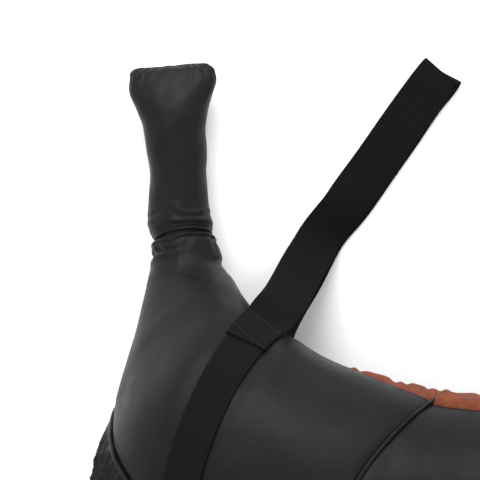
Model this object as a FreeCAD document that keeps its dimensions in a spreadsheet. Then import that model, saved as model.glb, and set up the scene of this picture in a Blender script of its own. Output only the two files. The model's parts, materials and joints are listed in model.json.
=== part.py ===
"""Crescent training bag with two horn grips and two hand loops.

The bag lies on its back, front face up. +X is to the right along its length,
+Y points from the belly to the horn tips and +Z is up. The origin is on the
surface that it lies on, under the middle of its bounding box.

The body is one smooth skin through upright elliptic sections, from neck to neck.
Each section spans from a point of the neck-side arc to a point of the belly
curve. Every cover, welt and band follows that skin at a named offset. Pieces of
the right side are mirror images of the left ones.
"""
import FreeCAD, Part
import math
import os

V = FreeCAD.Vector
doc = FreeCAD.newDocument("crescent_bag")
sheet = doc.addObject("Spreadsheet::Sheet", "Sizes")

DIMENSIONS = [
    # body outline, seen from above
    ("half_span", 345),           # origin to the widest point of a hip
    ("hip_line", -102.65),        # Y of the widest points
    ("belly_depth", 179),         # hip line to the lowest point of the belly
    ("arc_radius", 328),          # radius of the neck-side arc
    ("arc_low", -21.5),           # Y of the arc's lowest point
    ("neck_x", 278.5),            # middle of the bag to a neck's pivot
    ("neck_y", 113.35),           # Y of a neck's pivot
    # thickness and cover
    ("half_thickness", 105),      # half the thickness of the middle
    ("floor_flat", 8),            # how far the middle's back is pressed flat
    ("end_lift", 3),              # gap under the hips and horns
    ("leather", 2.2),             # cover material
    ("fit_gap", 0.3),             # clearance between stacked layers
    ("welt_height", 1.8),
    ("welt_width", 3.5),
    # seams
    ("seam_radius", 230.5),       # plan radius of the middle panels' side seams
    ("seam_x", 83.9),             # plan centre of the left seam's circle
    ("seam_y", -204.85),
    ("gusset_half_length", 330),  # plan half axes of the belly gusset's seam
    ("gusset_half_depth", 155),
    ("gusset_y", -23.65),
    ("strip_half_length", 132),   # neck strip, middle to tip
    ("strip_half_height", 32),
    # grips
    ("grip_radius", 26),
    ("grip_length", 158),         # neck pivot to the end seam
    ("grip_lean", 2.9),           # degrees that a grip leans outwards
    ("neck_gap", 10.5),           # neck pivot to the end of the cone
    ("grip_gap", 8),              # neck pivot to the start of the grip
    # webbing
    ("webbing_width", 40),
    ("webbing_thickness", 2.5),
    ("band_x", 194.6),            # where a band crosses the neck-side arc
    ("band_y", 42.5),
    ("band_angle", 22),           # degrees from Y
    ("root_x", 192),              # where a loop leaves the front of the bag
    ("root_y", 45.5),
    ("root_height", 112),
    ("tail_height", 44),          # where its lower layer meets the back
    ("loop_angle", 32.74),        # degrees from Y
    ("loop_drop", 89),            # root to where the layers reach the floor
    ("loop_length", 266.7),       # root to the fold at the end
    ("fold_radius", 2.2),         # middle of the webbing at that fold
    # filling
    ("core_share", 0.38),         # a sand core's section over the bag's section
    ("core_half_length", 110),    # middle sand bag, middle to end
    ("liner", 1.2),               # sand bag material
    ("bag_gap", 4),               # between two sand bags
    ("tie_width", 6),
    ("tie_thickness", 3),
]

for row, (alias, value) in enumerate(DIMENSIONS, start=1):
    sheet.set(f"A{row}", alias)
    sheet.set(f"B{row}", str(value))
    sheet.setAlias(f"B{row}", alias)
doc.recompute()
SIZE = {alias: float(sheet.get(alias)) for alias, _ in DIMENSIONS}

BELLY_STEPS = 4                   # sections from the middle to the hip
SIDE_STEPS = 3                    # sections from the hip to the neck
ARC_SWEEP = 39.6                  # degrees of the neck-side arc up to the hip
THICKNESS_SHARES = [1, 1, 0.98, 0.92, 0.78, 0.61, 0.42]
CORE_STEPS = 5                    # sections from the middle to a sand bag's tied end
# Along a grip from its pivot, as a share of its length: half width and half
# height over the grip's radius. The tube keeps its girth and ends in a flat seam.
GRIP_PROFILE = [
    (0.05, 0.73, 0.73), (0.07, 0.90, 0.90), (0.10, 0.98, 1.00), (0.30, 0.97, 1.02),
    (0.53, 1.00, 1.00), (0.70, 1.10, 0.90), (0.81, 1.34, 0.66), (0.87, 1.46, 0.47),
    (0.93, 1.48, 0.36), (0.98, 1.38, 0.20), (1.00, 1.30, 0.07)]
# The gathered neck: place from the neck gap's cone side to its grip side, and
# radius over the grip's radius at each fold.
GATHER_PROFILE = [(0.02, 0.78), (0.22, 0.90), (0.42, 0.79), (0.62, 0.90), (0.80, 0.78), (0.97, 0.68)]
REACH = 1200                      # larger than the bag, for cutting blocks
UP = V(0, 0, 1)
nodes = {}


def feature(kind, name, **properties):
    """Add a document object and set its properties."""
    item = doc.addObject(kind, name)
    for key, value in properties.items():
        setattr(item, key, value)
    return item


def bind(item, **expressions):
    """Bind properties of an object to cells of the sheet."""
    for key, text in expressions.items():
        item.setExpression(key, text)
    return item


def node(name, item):
    """Name an object as one of the bag's sub-parts."""
    item.Label = name
    nodes[name] = item
    return item


def cut(name, base, tool):
    return feature("Part::Cut", name, Base=base, Tool=tool)


def common(name, base, tool):
    return feature("Part::Common", name, Base=base, Tool=tool)


def mirrored(name, source):
    """Copy of an object on the other side of the plane X = 0."""
    return feature("Part::Mirroring", name, Source=source, Normal=V(1, 0, 0))


def along_grip(distance):
    """Point on the left grip's axis, in plan, at a distance from its pivot."""
    lean = math.radians(SIZE["grip_lean"])
    return V(-SIZE["neck_x"] - math.sin(lean) * distance,
             SIZE["neck_y"] + math.cos(lean) * distance, 0)


# --- the bag's form ---------------------------------------------------------

def half_stations():
    """Inner point, outer point, half thickness and centre height, middle to left neck."""
    arc_centre = SIZE["arc_low"] + SIZE["arc_radius"]
    pairs = []
    for step in range(BELLY_STEPS + 1):
        inner_turn = math.radians(ARC_SWEEP * step / BELLY_STEPS)
        outer_turn = math.radians(90 * step / BELLY_STEPS)
        inner = V(-SIZE["arc_radius"] * math.sin(inner_turn),
                  arc_centre - SIZE["arc_radius"] * math.cos(inner_turn), 0)
        outer = V(-SIZE["half_span"] * math.sin(outer_turn),
                  SIZE["hip_line"] - SIZE["belly_depth"] * math.cos(outer_turn), 0)
        pairs.append((inner, outer))
    hip_inner, hip_outer = pairs[-1]
    lean = math.radians(SIZE["grip_lean"])
    half_neck = V(math.cos(lean), math.sin(lean), 0) * SIZE["grip_radius"]
    neck = along_grip(-SIZE["neck_gap"])
    for step in range(1, SIDE_STEPS + 1):
        share = step / SIDE_STEPS
        inner = hip_inner + (neck + half_neck - hip_inner) * share
        outer = hip_outer + (neck - half_neck - hip_outer) * share
        pairs.append((inner, outer))
    rows = []
    for step, (inner, outer) in enumerate(pairs):
        half_height = SIZE["grip_radius"]
        if step < len(THICKNESS_SHARES):
            half_height = SIZE["half_thickness"] * THICKNESS_SHARES[step]
        half_height = min(half_height, inner.distanceToPoint(outer) / 2)
        pressed = max(0, 1 - step / 2) * (SIZE["end_lift"] + SIZE["floor_flat"])
        rows.append((inner, outer, half_height, half_height + SIZE["end_lift"] - pressed))
    return rows


def flipped(point):
    return V(-point.x, point.y, point.z)


def stations():
    """The sections of the whole bag, from the right neck to the left neck."""
    left = half_stations()
    right = [(flipped(inner), flipped(outer), half_height, height)
             for inner, outer, half_height, height in reversed(left[1:])]
    return right + left


def skin(sections):
    """Closed solid whose surface passes through upright ellipses in order.

    Each ellipse is a rational quadratic ring of nine poles. The poles of like
    place in all the rings are joined by a cubic curve, and the curves' own
    poles are the poles of the surface. The two end ellipses are capped flat.
    """
    corner = math.sqrt(0.5)
    ring = [(1, 0, 1), (1, 1, corner), (0, 1, 1), (-1, 1, corner), (-1, 0, 1),
            (-1, -1, corner), (0, -1, 1), (1, -1, corner), (1, 0, 1)]
    centres = [(inner + outer) * 0.5 + UP * height for inner, outer, _, height in sections]
    lengths = [0]
    for near, far in zip(centres, centres[1:]):
        lengths.append(lengths[-1] + near.distanceToPoint(far))
    columns = []
    for across, rise, _ in ring:
        points = [centre + (outer - inner) * 0.5 * across + UP * half_height * rise
                  for centre, (inner, outer, half_height, _) in zip(centres, sections)]
        curve = Part.BSplineCurve()
        curve.interpolate(Points=points, Parameters=lengths)
        columns.append(curve)
    rows = [[column.getPole(index) for column in columns]
            for index in range(1, columns[0].NbPoles + 1)]
    faces = []
    rims = ([], [])
    for quarter in range(0, len(ring) - 1, 2):
        surface = Part.BSplineSurface()
        surface.buildFromPolesMultsKnots(
            [row[quarter:quarter + 3] for row in rows],
            columns[0].getMultiplicities(), [3, 3], columns[0].getKnots(), [0, 1],
            False, False, 3, 2, [[1, corner, 1] for _ in rows])
        faces.append(surface.toShape())
        rims[0].append(surface.uIso(lengths[0]).toShape())
        rims[1].append(surface.uIso(lengths[-1]).toShape())
    faces += [Part.Face(Part.Wire(rim)) for rim in rims]
    shell = Part.makeShell(faces)
    shell.sewShape()
    solid = Part.Solid(shell)
    if solid.Volume < 0:
        solid.reverse()
    return solid


def bag_form(name, offset=0.0, share=1.0, first=0, last=None):
    """The bag's form grown by an offset, or its section shrunk to a share."""
    sections = []
    for inner, outer, half_height, height in stations()[first:last]:
        middle = (inner + outer) * 0.5
        reach = (outer - inner) * 0.5
        reach = reach * share + V(reach).normalize() * offset
        sections.append((middle - reach, middle + reach, half_height * share + offset, height))
    item = doc.addObject("Part::Feature", name)
    item.Shape = skin(sections)
    return item


def block(name, low, high):
    """Axis-parallel cutting block."""
    item = feature("Part::Box", name, Length=high.x - low.x, Width=high.y - low.y,
                   Height=high.z - low.z)
    item.Placement.Base = low
    return item


above_floor = block("above_floor", V(-REACH, -REACH, 0), V(REACH, REACH, REACH))
above_cover = block("above_cover", V(-REACH, -REACH, 0), V(REACH, REACH, REACH))
bind(above_cover, **{".Placement.Base.z": "Sizes.leather"})
above_lining = block("above_lining", V(-REACH, -REACH, 0), V(REACH, REACH, REACH))
bind(above_lining, **{".Placement.Base.z": "Sizes.leather + Sizes.fit_gap"})

form = common("form", bag_form("form_skin"), above_floor)
hollow = common("hollow", bag_form("hollow_skin", -SIZE["leather"]), above_cover)
cover = cut("cover", form, hollow)
left_side = block("left_side", V(-REACH, -REACH, -REACH), V(0, REACH, REACH))


# --- plan cutters -----------------------------------------------------------

def plan_ellipse(name, half_length, half_depth, centre_y):
    """Upright elliptic column, sized by expressions."""
    ring = feature("Part::Ellipse", f"{name}_ring")
    bind(ring, MajorRadius=half_length, MinorRadius=half_depth,
         **{".Placement.Base.y": centre_y, ".Placement.Base.z": f"-{REACH / 2}"})
    return feature("Part::Extrusion", name, Base=ring, Dir=UP, DirMode="Custom",
                   LengthFwd=REACH, Solid=True)


def seam_column(name, radius):
    """Upright round column whose wall is the left side seam of the middle panels."""
    item = feature("Part::Cylinder", name, Height=REACH)
    bind(item, Radius=radius, **{".Placement.Base.x": "Sizes.seam_x",
                                 ".Placement.Base.y": "Sizes.seam_y",
                                 ".Placement.Base.z": f"-{REACH / 2}"})
    return item


inside_gusset = plan_ellipse("inside_gusset", "Sizes.gusset_half_length",
                             "Sizes.gusset_half_depth", "Sizes.gusset_y")
inside_gusset_welt = plan_ellipse("inside_gusset_welt",
                                  "Sizes.gusset_half_length + Sizes.welt_width",
                                  "Sizes.gusset_half_depth + Sizes.welt_width",
                                  "Sizes.gusset_y")
below_tips = block("below_tips", V(-REACH, -REACH, -REACH), V(REACH, 0, REACH))
bind(below_tips, **{"Width": f"{REACH} + Sizes.gusset_y"})
gusset_region = cut("gusset_region", below_tips, inside_gusset)
inside_seam = seam_column("inside_seam", "Sizes.seam_radius")
inside_seam_welt = seam_column("inside_seam_welt",
                                "Sizes.seam_radius + Sizes.welt_width")

# The neck strip's edges are two arcs that meet at its tips, seen along Y.
strip_height = SIZE["half_thickness"] - SIZE["floor_flat"] / 2
strip_left = V(-SIZE["strip_half_length"], 0, strip_height)
strip_right = V(SIZE["strip_half_length"], 0, strip_height)
strip_rise = UP * SIZE["strip_half_height"]
strip_middle = V(0, 0, strip_height)
strip_outline = Part.Wire([
    Part.Arc(strip_left, strip_middle + strip_rise, strip_right).toShape(),
    Part.Arc(strip_right, strip_middle - strip_rise, strip_left).toShape()])
strip_column = doc.addObject("Part::Feature", "strip_column")
strip_column.Shape = Part.Face(strip_outline).extrude(V(0, SIZE["half_thickness"], 0))
strip_column.Placement.Base.y = SIZE["arc_low"] - SIZE["half_thickness"] / 2


# --- covers -----------------------------------------------------------------

node("belly_gusset", common("belly_gusset", cover, gusset_region))

upper_cover = cut("upper_cover", cover, gusset_region)
node("neck_strip", common("neck_strip", upper_cover, strip_column))

panels = cut("panels", upper_cover, strip_column)
left_panels = common("left_panels", panels, left_side)
left_panel = node("left_horn_panel", cut("left_horn_panel", left_panels, inside_seam))
right_panel = node("right_horn_panel", mirrored("right_horn_panel", left_panel))

middle = cut("middle", cut("middle_and_right", panels, left_panel), right_panel)
front_block = block("front_block", V(-REACH, -REACH, strip_height), V(REACH, REACH, REACH))
node("centre_front_panel", common("centre_front_panel", middle, front_block))
node("centre_back_panel", cut("centre_back_panel", middle, front_block))


# --- welts ------------------------------------------------------------------

def band_slab(name, extra):
    """Upright slab that the left band follows, seen from above."""
    item = feature("Part::Box", name, Length=REACH, Height=2 * REACH)
    bind(item, Width=f"Sizes.webbing_width + {extra}")
    turn = FreeCAD.Rotation(UP, -90 - SIZE["band_angle"])
    corner = V(-REACH / 2, -(SIZE["webbing_width"] + extra) / 2, -REACH)
    item.Placement = FreeCAD.Placement(
        V(-SIZE["band_x"], SIZE["band_y"], 0) + turn.multVec(corner), turn)
    return item


raised_form = common("raised_form", bag_form("welt_skin", SIZE["welt_height"]), above_floor)
raised = cut("raised", raised_form, form)
left_gap = band_slab("left_gap", 2 * SIZE["fit_gap"])
right_gap = mirrored("right_gap", left_gap)
raised = cut("raised_left_gap", raised, left_gap)
raised = cut("raised_gaps", raised, right_gap)

gusset_ring = common("gusset_ring", cut("gusset_ring_whole", inside_gusset_welt, inside_gusset),
                     below_tips)
gusset_welt = common("gusset_welt", raised, gusset_ring)
node("gusset_front_welt", common("gusset_front_welt", gusset_welt, front_block))
node("gusset_back_welt", cut("gusset_back_welt", gusset_welt, front_block))

seam_ring = cut("seam_ring", inside_seam_welt, inside_seam)
seam_ring = common("seam_ring_left", cut("seam_ring_upper", seam_ring, gusset_region), left_side)
seam_ring = cut("seam_ring_open", seam_ring, strip_column)
left_welt = node("left_seam_welt", common("left_seam_welt", raised, seam_ring))
node("right_seam_welt", mirrored("right_seam_welt", left_welt))


# --- webbing ----------------------------------------------------------------

band_layer = cut("band_layer",
                 bag_form("band_outside", SIZE["fit_gap"] + SIZE["webbing_thickness"]),
                 bag_form("band_inside", SIZE["fit_gap"]))
left_band = node("left_band", common("left_band", band_layer, band_slab("left_slab", 0)))
node("right_band", mirrored("right_band", left_band))


def webbing_profile(points, thickness):
    """Face of a webbing's edge: a route in (along, up), thickened to both sides."""
    sides = ([], [])
    for index, (along, up) in enumerate(points):
        before = points[max(index - 1, 0)]
        after = points[min(index + 1, len(points) - 1)]
        near = V(along - before[0], up - before[1], 0)
        far = V(after[0] - along, after[1] - up, 0)
        near = near.normalize() if near.Length else far.normalize()
        far = far.normalize() if far.Length else near
        mean = (near + far).normalize()
        reach = thickness / 2 / max(mean.dot(near), 0.5)
        normal = V(-mean.y, mean.x, 0) * reach
        sides[0].append(V(along, 0, up) + V(normal.x, 0, normal.y))
        sides[1].append(V(along, 0, up) - V(normal.x, 0, normal.y))
    outline = sides[0] + sides[1][::-1]
    return Part.Face(Part.makePolygon(outline + outline[:1]))


drop = SIZE["loop_drop"]
top = SIZE["root_height"]
tail = SIZE["tail_height"]
fold = SIZE["fold_radius"]
lower = SIZE["fit_gap"] + SIZE["webbing_thickness"] / 2
upper = lower + 2 * fold
turned = [(SIZE["loop_length"] - fold + fold * math.cos(turn), lower + fold + fold * math.sin(turn))
          for turn in (math.radians(90 - 30 * step) for step in range(7))]
LOOP_ROUTE = [
    (0, top), (0.14 * drop, 0.90 * top), (0.30 * drop, 0.74 * top), (0.50 * drop, 0.50 * top),
    (0.70 * drop, 0.27 * top), (0.87 * drop, 0.10 * top), (drop, upper + 1), (1.2 * drop, upper),
    *turned,
    (1.1 * drop, lower), (0.90 * drop, lower), (0.68 * drop, 0.14 * tail),
    (0.40 * drop, 0.45 * tail), (0.15 * drop, 0.85 * tail), (0.03 * drop, tail)]

left_loop = doc.addObject("Part::Feature", "left_loop")
left_loop.Shape = webbing_profile(LOOP_ROUTE, SIZE["webbing_thickness"]).extrude(
    V(0, SIZE["webbing_width"], 0))
turn = FreeCAD.Rotation(UP, 90 - SIZE["loop_angle"])
left_loop.Placement = FreeCAD.Placement(
    V(-SIZE["root_x"], SIZE["root_y"], 0) + turn.multVec(V(0, -SIZE["webbing_width"] / 2, 0)), turn)
node("left_loop", left_loop)
node("right_loop", mirrored("right_loop", left_loop))


# --- necks and grips --------------------------------------------------------

def grip_section(distance, half_width, half_height):
    """Upright ellipse across the left grip at a distance from its pivot."""
    lean = math.radians(SIZE["grip_lean"])
    reach = V(math.cos(lean), math.sin(lean), 0) * half_width
    centre = along_grip(distance)
    return centre + reach, centre - reach, half_height, SIZE["grip_radius"] + SIZE["end_lift"]


def grip_form(name, profile, offset=0.0):
    """Tube along the left grip that follows a profile, grown by an offset."""
    radius = SIZE["grip_radius"]
    item = doc.addObject("Part::Feature", name)
    item.Shape = skin([grip_section(share * SIZE["grip_length"], width * radius + offset,
                                    height * radius + offset)
                       for share, width, height in profile])
    return item


lining = SIZE["leather"] + SIZE["fit_gap"]
left_cover = node("left_grip_cover", cut(
    "left_grip_cover", grip_form("grip_outside", GRIP_PROFILE),
    grip_form("grip_hollow", GRIP_PROFILE[1:-1], -SIZE["leather"])))
node("right_grip_cover", mirrored("right_grip_cover", left_cover))
left_core = node("left_grip_core", grip_form("left_grip_core", GRIP_PROFILE[1:-1], -lining))
node("right_grip_core", mirrored("right_grip_core", left_core))

gather_length = SIZE["neck_gap"] + SIZE["grip_gap"]
left_gather = doc.addObject("Part::Feature", "left_neck_gather")
left_gather.Shape = skin([
    grip_section(share * gather_length - SIZE["neck_gap"], size * SIZE["grip_radius"],
                 size * SIZE["grip_radius"])
    for share, size in GATHER_PROFILE])
node("left_neck_gather", left_gather)
node("right_neck_gather", mirrored("right_neck_gather", left_gather))


# --- filling ----------------------------------------------------------------

middle_step = BELLY_STEPS + SIDE_STEPS
core_range = (middle_step - CORE_STEPS, middle_step + CORE_STEPS + 1)
share = SIZE["core_share"]
core = bag_form("core", 0, share, *core_range)
liner_form = bag_form("liner_form", SIZE["liner"], share, *core_range)


def end_block(name, near_x):
    """Block that keeps what lies left of a plane X = -near_x."""
    return block(name, V(-REACH, -REACH, -REACH), V(-near_x, REACH, REACH))


def middle_block(name, half_length):
    return block(name, V(-half_length, -REACH, -REACH), V(half_length, REACH, REACH))


side_start = SIZE["core_half_length"] + SIZE["bag_gap"]
centre_sand = node("centre_sand", common(
    "centre_sand", core, middle_block("sand_span", SIZE["core_half_length"] - SIZE["liner"])))
node("centre_sand_bag", cut("centre_sand_bag", common(
    "centre_bag_form", liner_form, middle_block("bag_span", SIZE["core_half_length"])), centre_sand))
left_sand = node("left_sand", common("left_sand", core,
                                     end_block("sand_end", side_start + SIZE["liner"])))
node("right_sand", mirrored("right_sand", left_sand))
left_bag = node("left_sand_bag", cut("left_sand_bag", common(
    "left_bag_form", liner_form, end_block("bag_end", side_start)), left_sand))
node("right_sand_bag", mirrored("right_sand_bag", left_bag))

tied_inner, tied_outer, _, _ = half_stations()[CORE_STEPS]
tie_y = (tied_inner.y + tied_outer.y) / 2 - 3 * SIZE["tie_width"]
tie_span = block("tie_span", V(-REACH, tie_y, -REACH), V(0, tie_y + SIZE["tie_width"], REACH))
tie_layer = cut("tie_layer",
                bag_form("tie_outside", SIZE["liner"] + SIZE["fit_gap"] + SIZE["tie_thickness"],
                         share, *core_range),
                bag_form("tie_inside", SIZE["liner"] + SIZE["fit_gap"], share, *core_range))
left_tie = node("left_bag_tie", common("left_bag_tie", tie_layer, tie_span))
node("right_bag_tie", mirrored("right_bag_tie", left_tie))

cavity = bag_form("cavity", SIZE["liner"] + SIZE["tie_thickness"] + 2 * SIZE["fit_gap"],
                  share, *core_range)
stuffing = common("stuffing", bag_form("stuffing_skin", -lining), above_lining)
node("wadding_sleeve", cut("wadding_sleeve", stuffing, cavity))


# --- checks and files -------------------------------------------------------

doc.recompute()
for item in doc.Objects:
    if "Invalid" in item.State or "Error" in item.State:
        raise RuntimeError(f"{item.Name} failed: {item.State}")
whole = FreeCAD.BoundBox()
os.makedirs("parts", exist_ok=True)
for name, item in nodes.items():
    shape = item.Shape
    if shape.isNull() or not shape.isValid() or shape.Volume <= 0 or not shape.Solids:
        raise RuntimeError(f"{name} has no valid solid")
    bounds = shape.optimalBoundingBox()
    whole.add(bounds)
    print(f"{name}: {len(shape.Solids)} solid(s), {shape.Volume / 1e3:.1f} cm3, "
          f"z {bounds.ZMin:.2f} to {bounds.ZMax:.2f}")
    shape.exportStep(os.path.join("parts", f"{name}.step"))
print(f"{len(nodes)} sub-parts, whole {whole}")
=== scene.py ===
"""Crescent training bag: leather cover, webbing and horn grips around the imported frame.

Laid out as an add-on. Every cover panel is a sheet of one stuffed form, which is
a function of the place along the bag and the angle round it. Lengths are metres.
"""
import json
import math

import bmesh
import bpy
import numpy as np
from bpy.props import (
    FloatProperty, FloatVectorProperty, PointerProperty)
from bpy.types import Operator, Panel, PropertyGroup
from mathutils import Matrix, Vector


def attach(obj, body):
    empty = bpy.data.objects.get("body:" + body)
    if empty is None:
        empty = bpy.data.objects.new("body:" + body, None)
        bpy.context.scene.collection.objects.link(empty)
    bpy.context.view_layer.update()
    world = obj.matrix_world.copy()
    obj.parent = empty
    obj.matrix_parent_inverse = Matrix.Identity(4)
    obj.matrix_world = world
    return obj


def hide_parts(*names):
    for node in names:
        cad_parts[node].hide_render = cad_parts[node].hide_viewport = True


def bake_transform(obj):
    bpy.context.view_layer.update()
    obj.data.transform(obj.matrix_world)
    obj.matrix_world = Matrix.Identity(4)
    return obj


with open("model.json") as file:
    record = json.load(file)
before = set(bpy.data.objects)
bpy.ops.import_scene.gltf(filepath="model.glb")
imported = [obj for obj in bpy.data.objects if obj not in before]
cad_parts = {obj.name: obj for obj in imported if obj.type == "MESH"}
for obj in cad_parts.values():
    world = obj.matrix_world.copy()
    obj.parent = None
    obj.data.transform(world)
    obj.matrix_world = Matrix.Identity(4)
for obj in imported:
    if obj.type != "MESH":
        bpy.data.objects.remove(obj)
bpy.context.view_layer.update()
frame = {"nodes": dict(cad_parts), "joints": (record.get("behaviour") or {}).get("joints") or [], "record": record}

bl_info = {
    "name": "Crescent Training Bag",
    "version": (1, 0, 0),
    "blender": (4, 5, 0),
    "location": "View3D > Sidebar > Training Bag",
    "description": "Builds the cover, webbing, grips and stage of a crescent training bag",
    "category": "Object",
}

SIDES = {"left": 1, "right": -1}
JOINTS = {joint["name"]: joint for joint in frame["joints"]}
NECK_PIVOT = JOINTS["left_neck_swing"]["pos_m"]


# --- sizes and looks --------------------------------------------------------

class BagForm(PropertyGroup):
    """Outline and thickness of the stuffed body."""
    half_span: FloatProperty(
        name="Half span", description="Middle of the bag to the outside of a hip",
        default=0.345, unit="LENGTH")
    hip_line: FloatProperty(
        name="Hip line", description="Y of the widest points", default=-0.10265, unit="LENGTH")
    belly_depth: FloatProperty(
        name="Belly depth", description="Hip line to the lowest point of the belly",
        default=0.179, unit="LENGTH")
    arc_radius: FloatProperty(
        name="Neck arc radius", description="Radius of the neck-side arc",
        default=0.328, unit="LENGTH")
    arc_low: FloatProperty(
        name="Neck arc low", description="Y of the arc's lowest point",
        default=-0.0215, unit="LENGTH")
    half_thickness: FloatProperty(
        name="Half thickness", description="Half the thickness of the middle",
        default=0.105, unit="LENGTH")
    floor_flat: FloatProperty(
        name="Floor flat", description="How far the middle's back is pressed flat",
        default=0.008, unit="LENGTH")
    end_lift: FloatProperty(
        name="End lift", description="Gap under the hips and horns",
        default=0.003, unit="LENGTH")
    gusset_half_length: FloatProperty(
        name="Gusset half length", description="Plan half axis of the belly gusset's seam",
        default=0.330, unit="LENGTH")
    gusset_half_depth: FloatProperty(
        name="Gusset half depth", description="Plan half axis of the belly gusset's seam",
        default=0.155, unit="LENGTH")
    gusset_y: FloatProperty(
        name="Gusset centre", description="Y of the gusset seam's centre",
        default=-0.02365, unit="LENGTH")
    seam_radius: FloatProperty(
        name="Side seam radius", description="Plan radius of the middle panels' side seams",
        default=0.2305, unit="LENGTH")
    seam_x: FloatProperty(
        name="Side seam centre X", description="Plan centre of the left side seam",
        default=0.0839, unit="LENGTH")
    seam_y: FloatProperty(
        name="Side seam centre Y", description="Plan centre of the left side seam",
        default=-0.20485, unit="LENGTH")
    strip_half_length: FloatProperty(
        name="Neck strip half length", description="Middle of the neck strip to its tip",
        default=0.132, unit="LENGTH")
    strip_half_height: FloatProperty(
        name="Neck strip half height", description="Half the strip's height at its middle",
        default=0.033, unit="LENGTH")


class HornShape(PropertyGroup):
    """Neck and grip of a horn."""
    grip_radius: FloatProperty(
        name="Grip radius", description="Radius of the grip", default=0.026, unit="LENGTH")
    grip_lean: FloatProperty(
        name="Grip lean", description="How far a grip leans outwards",
        default=math.radians(2.9), subtype="ANGLE")
    neck_gap: FloatProperty(
        name="Neck gap", description="Neck pivot to the end of the cone",
        default=0.0105, unit="LENGTH")


class WebbingShape(PropertyGroup):
    """Bands and loops."""
    width: FloatProperty(
        name="Width", description="Width of the webbing", default=0.040, unit="LENGTH")
    thickness: FloatProperty(
        name="Thickness", description="Thickness of the webbing", default=0.0022, unit="LENGTH")
    band_x: FloatProperty(
        name="Band X", description="Where the band crosses the neck-side arc",
        default=0.1946, unit="LENGTH")
    band_y: FloatProperty(
        name="Band Y", description="Where the band crosses the neck-side arc",
        default=0.0425, unit="LENGTH")
    band_angle: FloatProperty(
        name="Band angle", description="Turn of the band from Y, seen from above",
        default=math.radians(16), subtype="ANGLE")
    band_bow: FloatProperty(
        name="Band bow", description="How far the band bows towards the horn",
        default=0.020, unit="LENGTH")
    band_width: FloatProperty(
        name="Band width", description="Width of the stretched band",
        default=0.0372, unit="LENGTH")


class BagLook(PropertyGroup):
    """Colours and finishes."""
    leather_colour: FloatVectorProperty(
        name="Leather", description="Black cover leather", subtype="COLOR",
        default=(0.0060, 0.0060, 0.0066), min=0, max=1)
    leather_roughness: FloatProperty(
        name="Leather roughness", description="Roughness of the cover leather",
        default=0.41, min=0, max=1)
    rust_colour: FloatVectorProperty(
        name="Rust suede", description="Colour of the neck strip", subtype="COLOR",
        default=(0.15, 0.042, 0.022), min=0, max=1)
    webbing_colour: FloatVectorProperty(
        name="Webbing", description="Colour of the webbing", subtype="COLOR",
        default=(0.0018, 0.0018, 0.0019), min=0, max=1)


class StudioStage(PropertyGroup):
    """Floor, lights and camera."""
    camera_height: FloatProperty(
        name="Camera height", description="Height above the floor", default=1.80, unit="LENGTH")
    aim_x: FloatProperty(
        name="Aim X", description="Where the camera points", default=-0.2306, unit="LENGTH")
    aim_y: FloatProperty(
        name="Aim Y", description="Where the camera points", default=0.1184, unit="LENGTH")
    lens: FloatProperty(
        name="Lens", description="Focal length in millimetres", default=151.63)
    roll: FloatProperty(
        name="Roll", description="Turn of the picture", default=0.0033, subtype="ANGLE")
    floor_colour: FloatVectorProperty(
        name="Floor", description="Colour of the floor", subtype="COLOR",
        default=(0.90, 0.90, 0.90), min=0, max=1)
    key_power: FloatProperty(
        name="Key light", description="Power of the large light overhead", default=42.0)


def sizes(group):
    """The scene's settings of one group."""
    return getattr(bpy.context.scene, group)


# --- curves and surfaces ----------------------------------------------------

def natural_spline(knots, values, at):
    """Cubic curve through values at knots, with no curvature at its two ends.

    Second derivatives m solve h[i-1] m[i-1] + 2 (h[i-1] + h[i]) m[i] + h[i] m[i+1]
    = 6 (slope[i] - slope[i-1]); each span is the usual cubic of its end values and m.
    """
    knots = np.asarray(knots, float)
    values = np.asarray(values, float)
    gaps = np.diff(knots)
    slopes = np.diff(values, axis=0) / gaps[:, None]
    count = len(knots)
    matrix = np.eye(count)
    right = np.zeros_like(values)
    inside = np.arange(1, count - 1)
    matrix[inside, inside - 1] = gaps[:-1]
    matrix[inside, inside] = 2 * (gaps[:-1] + gaps[1:])
    matrix[inside, inside + 1] = gaps[1:]
    right[1:-1] = 6 * np.diff(slopes, axis=0)
    bends = np.linalg.solve(matrix, right)
    at = np.asarray(at, float)
    span = np.clip(np.searchsorted(knots, at) - 1, 0, count - 2)
    gap = gaps[span]
    after = (at - knots[span]) / gap
    before = 1 - after
    mix = before[..., None] * values[span] + after[..., None] * values[span + 1]
    curl = (before ** 3 - before)[..., None] * bends[span]
    curl += (after ** 3 - after)[..., None] * bends[span + 1]
    return mix + curl * (gap ** 2 / 6)[..., None]


def smooth_step(low, high, at):
    """0 below low, 1 above high, and 3t^2 - 2t^3 between."""
    t = np.clip((at - low) / (high - low), 0, 1)
    return t * t * (3 - 2 * t)


def hill(at, middle, width):
    """Bell exp(-((at - middle) / width)^2)."""
    return np.exp(-((at - middle) / width) ** 2)


def unit(vectors):
    """The vectors scaled to length 1."""
    return vectors / np.maximum(np.linalg.norm(vectors, axis=-1, keepdims=True), 1e-12)


def along_grip(distance):
    """Plan points of the left grip's axis at distances from its pivot."""
    lean = sizes("bag_horn").grip_lean
    distance = np.asarray(distance, float)
    return np.stack([NECK_PIVOT[0] - math.sin(lean) * distance,
                     NECK_PIVOT[1] + math.cos(lean) * distance], axis=-1)


BELLY_STEPS = 4
ARC_SWEEP = math.radians(39.6)
FLOOR_ROUNDING = 0.0008     # e, how softly the floor flattens the form
THICKNESS_SHARES = (1, 1, 0.98, 0.92, 0.78, 0.61, 0.42, 0.2476)
COLLAR_PLACES = (-0.002, 0.010)
_form_cache = {}


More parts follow.
